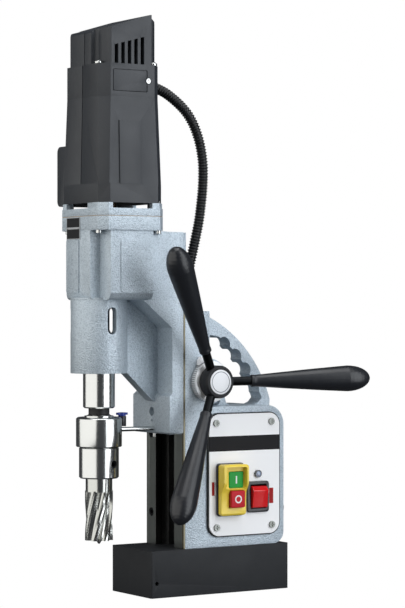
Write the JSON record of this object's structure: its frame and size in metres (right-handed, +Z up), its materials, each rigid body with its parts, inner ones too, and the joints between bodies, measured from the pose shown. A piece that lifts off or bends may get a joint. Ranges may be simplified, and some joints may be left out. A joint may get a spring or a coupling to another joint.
{
  "type": "magnetic drill press",
  "caption": "Portable magnetic drill press: magnet base, slide stand with carry handle and switch box, lever-fed carriage, gearbox and motor, annular cutter.",
  "frame": {"origin": "centre of the magnet's flat bottom face", "axes": "+Z up along the feed slide, -Y towards the spindle at the front, +X towards the switch panel and feed levers"},
  "size_m": [0.1675, 0.2907, 0.5817],
  "materials": {
    "cast_paint": "hammered light blue-grey enamel on an aluminium casting",
    "black_paint": "satin black enamel on steel",
    "copper_coil": "enamelled copper winding",
    "resin": "black potting resin",
    "dark_steel": "ground and blackened steel",
    "black_oxide": "black oxide steel",
    "brass": "drawn brass",
    "white_panel": "gloss white printed plate with a black band",
    "rubber": "black rubber",
    "bright_steel": "bright turned steel",
    "black_plastic": "fine-grained black nylon",
    "black_gloss": "gloss black plastic",
    "yellow_plastic": "yellow plastic",
    "green_plastic": "green plastic",
    "red_plastic": "red plastic",
    "red_clear": "translucent red plastic",
    "led_lens": "dark blue lens",
    "pcb": "green laminate",
    "bronze": "sintered bronze",
    "white_plastic": "white plastic",
    "gear_steel": "cut gear steel",
    "lever_black": "satin black moulded grip",
    "lamination": "varnished laminated iron",
    "cutter_steel": "ground high-speed steel",
    "blue_plastic": "blue plastic"
  },
  "bodies": {
    "stand": {"magnet_base": "black_paint", "magnet_coil": "copper_coil", "magnet_potting": "resin", "stand_housing": "cast_paint", "carry_handle": "cast_paint", "guide_rails": "dark_steel", "rail_screws": "black_oxide", "gib_strip": "brass", "base_bolts": "black_oxide", "panel_plate": "white_panel", "panel_gasket": "rubber", "panel_screws": "bright_steel", "switch_base": "black_gloss", "switch_frame": "yellow_plastic", "rocker_frame": "black_gloss", "indicator_led": "led_lens", "circuit_board": "pcb", "pinion_bushings": "bronze", "index_plate": "white_plastic", "mains_gland": "black_plastic", "conduit_gland_lower": "black_plastic"},
    "feed_capstan": {"pinion_shaft": "gear_steel", "scale_ring": "bright_steel", "capstan_hub": "lever_black", "hub_cap": "white_plastic", "lever_rods": "black_oxide", "lever_grips": "lever_black"},
    "carriage": {"gear_housing": "cast_paint", "spindle_barrel": "cast_paint", "slide_plate": "cast_paint", "feed_rack": "gear_steel", "gearbox_flange": "cast_paint", "flange_screws": "bright_steel", "motor_housing": "black_plastic", "motor_cap": "black_plastic", "cap_screws": "bright_steel", "brush_covers": "black_plastic", "side_box": "black_plastic", "stator": "lamination", "brush_holders": "brass", "bearings": "bright_steel", "label_plate": "black_gloss", "conduit_gland_upper": "black_plastic", "conduit": "rubber", "coolant_ring": "bright_steel", "coolant_rod": "bright_steel", "coolant_elbow": "black_gloss"},
    "armature": {"armature": "lamination"},
    "layshaft": {"layshaft": "gear_steel"},
    "spindle": {"spindle": "bright_steel", "spindle_gear": "gear_steel", "arbor": "bright_steel", "arbor_set_screws": "black_oxide", "cutter": "cutter_steel"},
    "pilot_pin": {"pilot_pin": "bright_steel"},
    "coolant_tap": {"coolant_tap": "blue_plastic"},
    "start_button": {"start_button": "green_plastic"},
    "stop_button": {"stop_button": "red_plastic"},
    "magnet_rocker": {"magnet_rocker": "red_clear"}
  },
  "joints": [
    {"name": "carriage_slide", "type": "slide", "parent": "stand", "child": "carriage", "axis": [0, 0, 1], "range_m": [-0.112, 0.028], "deforming": ["conduit"]},
    {"name": "feed_capstan_turn", "type": "hinge", "parent": "stand", "child": "feed_capstan", "pos_m": [0, -0.0137, 0.2153], "axis": [1, 0, 0], "range_deg": [-110, 430]},
    {"name": "spindle_spin", "type": "hinge", "parent": "carriage", "child": "spindle", "pos_m": [0, -0.1204, 0.25], "axis": [0, 0, 1], "continuous": true},
    {"name": "layshaft_spin", "type": "hinge", "parent": "carriage", "child": "layshaft", "pos_m": [-0.01972, -0.10832, 0.33], "axis": [0, 0, 1], "continuous": true},
    {"name": "armature_spin", "type": "hinge", "parent": "carriage", "child": "armature", "pos_m": [0, -0.105, 0.44], "axis": [0, 0, 1], "continuous": true},
    {"name": "pilot_pin_slide", "type": "slide", "parent": "spindle", "child": "pilot_pin", "axis": [0, 0, 1], "range_m": [0, 0.04], "stiffness_N_per_m": 60},
    {"name": "coolant_tap_turn", "type": "hinge", "parent": "carriage", "child": "coolant_tap", "pos_m": [-0.0022, -0.0925, 0.181], "axis": [0, 0, 1], "range_deg": [0, 90]},
    {"name": "start_button_press", "type": "slide", "parent": "stand", "child": "start_button", "axis": [-1, 0, 0], "range_m": [0, 0.003], "stiffness_N_per_m": 600},
    {"name": "stop_button_press", "type": "slide", "parent": "stand", "child": "stop_button", "axis": [-1, 0, 0], "range_m": [0, 0.003], "stiffness_N_per_m": 600},
    {"name": "magnet_rocker_tilt", "type": "hinge", "parent": "stand", "child": "magnet_rocker", "pos_m": [0.037, 0.0445, 0.0965], "axis": [0, 1, 0], "range_deg": [-18, 0]}
  ],
  "couplings": [
    {"joint": "feed_capstan_turn", "follows": "carriage_slide", "rad_per_m": -66.667},
    {"joint": "layshaft_spin", "follows": "spindle_spin", "ratio": -2.3636},
    {"joint": "armature_spin", "follows": "spindle_spin", "ratio": 8.1414}
  ]
}
